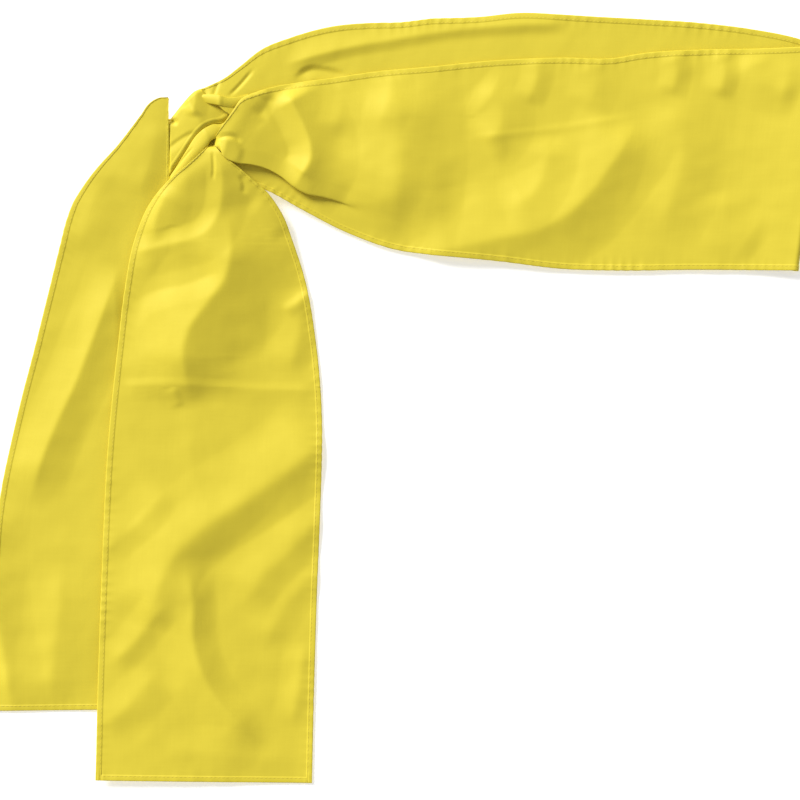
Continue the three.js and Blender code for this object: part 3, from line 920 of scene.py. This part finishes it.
class SASH_OT_loop_end(bpy.types.Operator):
    """Builds the outer part of the loop: both its sides and the fold between them, as one sheet."""
    bl_idname = "sash.loop_end"
    bl_label = "Loop end"

    def execute(self, context):
        settings = context.scene.sash_cloth
        front = raised(between(FRONT_LOOP_BOTTOM, FRONT_LOOP_TOP, spaced(360)), front_band_height)
        back = raised(between(BACK_LOOP_BOTTOM, BACK_LOOP_TOP, spaced(360)), back_band_height)
        a, b = front[-1], back[0]
        turn = np.linspace(0, math.pi, 9)[1:-1, None, None]
        middle, radius = (a + b) / 2, (a[:, 2:] - b[:, 2:]) / 2
        outward = np.array([1, -0.14, 0])
        bend = middle + (a - middle) * np.cos(turn) + outward * radius * np.sin(turn)
        grid = hems(np.concatenate([front, bend, back]), 151)
        edge = np.broadcast_to(from_edge(grid.shape[1] - 2 * len(HEM_COLUMNS)), grid.shape[:2])
        half = half_thickness(edge, settings.cloth_thickness / MM, settings.hem_thickness / MM)
        pieces = (shell("loop_outer_cloth", grid, half, strip_uv(grid, 225), cloth_material(settings)),
                  stitches("loop_outer_stitches", seam_lines(grid, half, False), thread_material(settings)))
        for piece in pieces:
            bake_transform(piece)
        declare(pieces, (STRIP_WIDTH * MM, 0.731), "folded", ["loop_end_fold"] + [
            f"{band}_outer{part}"
            for band in ("front_band", "back_band")
            for part in ("", "_bottom_hem", "_top_hem")])
        return {"FINISHED"}


class SASH_OT_stage(bpy.types.Operator):
    """Builds the floor, the camera and the lights."""
    bl_idname = "sash.stage"
    bl_label = "Stage"

    def execute(self, context):
        scene = context.scene
        settings = scene.sash_stage
        # Opal acrylic panel, lit from within just enough to stay white in the shade.
        panel = bpy.data.materials.new("opal acrylic light panel")
        panel.use_nodes = True
        shader = panel.node_tree.nodes["Principled BSDF"]
        shader.inputs["Base Color"].default_value = linear("#FAFAFA")
        shader.inputs["Roughness"].default_value = 0.9
        shader.inputs["Emission Color"].default_value = (1, 1, 1, 1)
        shader.inputs["Emission Strength"].default_value = settings.panel_glow
        corners = np.array([[-1, -1, 0], [1, -1, 0], [1, 1, 0], [-1, 1, 0]], float) * 6000
        corners[:, 2] = -0.15
        floor = make_mesh("floor", corners, np.array([[0, 1, 2, 3]]), corners[:, :2], panel)
        view = bpy.data.cameras.new("camera")
        view.lens = settings.lens
        view.sensor_width = 36
        view.clip_end = 50
        camera = bpy.data.objects.new("camera", view)
        camera.location = (*settings.view_centre, settings.view_width * view.lens / view.sensor_width)
        scene.collection.objects.link(camera)
        scene.camera = camera
        key = bpy.data.lights.new("key", "SUN")
        key.energy = settings.key_strength
        key.angle = settings.key_softness
        lamp = bpy.data.objects.new("key", key)
        lamp.rotation_euler = (-settings.key_tilt, 0, settings.key_turn)
        scene.collection.objects.link(lamp)
        world = bpy.data.worlds.new("studio")
        world.use_nodes = True
        world.node_tree.nodes["Background"].inputs["Color"].default_value = (1, 1, 1, 1)
        world.node_tree.nodes["Background"].inputs["Strength"].default_value = settings.fill_strength
        scene.world = world
        scene.view_settings.view_transform = "Standard"
        return {"FINISHED"}


class SASH_PT_panel(bpy.types.Panel):
    """Lists the steps of the build."""
    bl_label = "Sash"
    bl_idname = "SASH_PT_panel"
    bl_space_type = "VIEW_3D"
    bl_region_type = "UI"
    bl_category = "Sash"

    def draw(self, context):
        for step in STEPS:
            self.layout.operator(step.bl_idname)


STEPS = (SASH_OT_back_tail, SASH_OT_front_tail, SASH_OT_inner_bands, SASH_OT_loop_end, SASH_OT_knot,
         SASH_OT_stage)
CLASSES = (SASH_PG_cloth, SASH_PG_stage, *STEPS, SASH_PT_panel)


def register():
    for cls in CLASSES:
        bpy.utils.register_class(cls)
    bpy.types.Scene.sash_cloth = bpy.props.PointerProperty(type=SASH_PG_cloth)
    bpy.types.Scene.sash_stage = bpy.props.PointerProperty(type=SASH_PG_stage)


def unregister():
    del bpy.types.Scene.sash_stage
    del bpy.types.Scene.sash_cloth
    for cls in reversed(CLASSES):
        bpy.utils.unregister_class(cls)


def main():
    register()
    for step in STEPS:
        group, name = step.bl_idname.split(".")
        getattr(getattr(bpy.ops, group), name)()


if __name__ == "__main__":
    main()
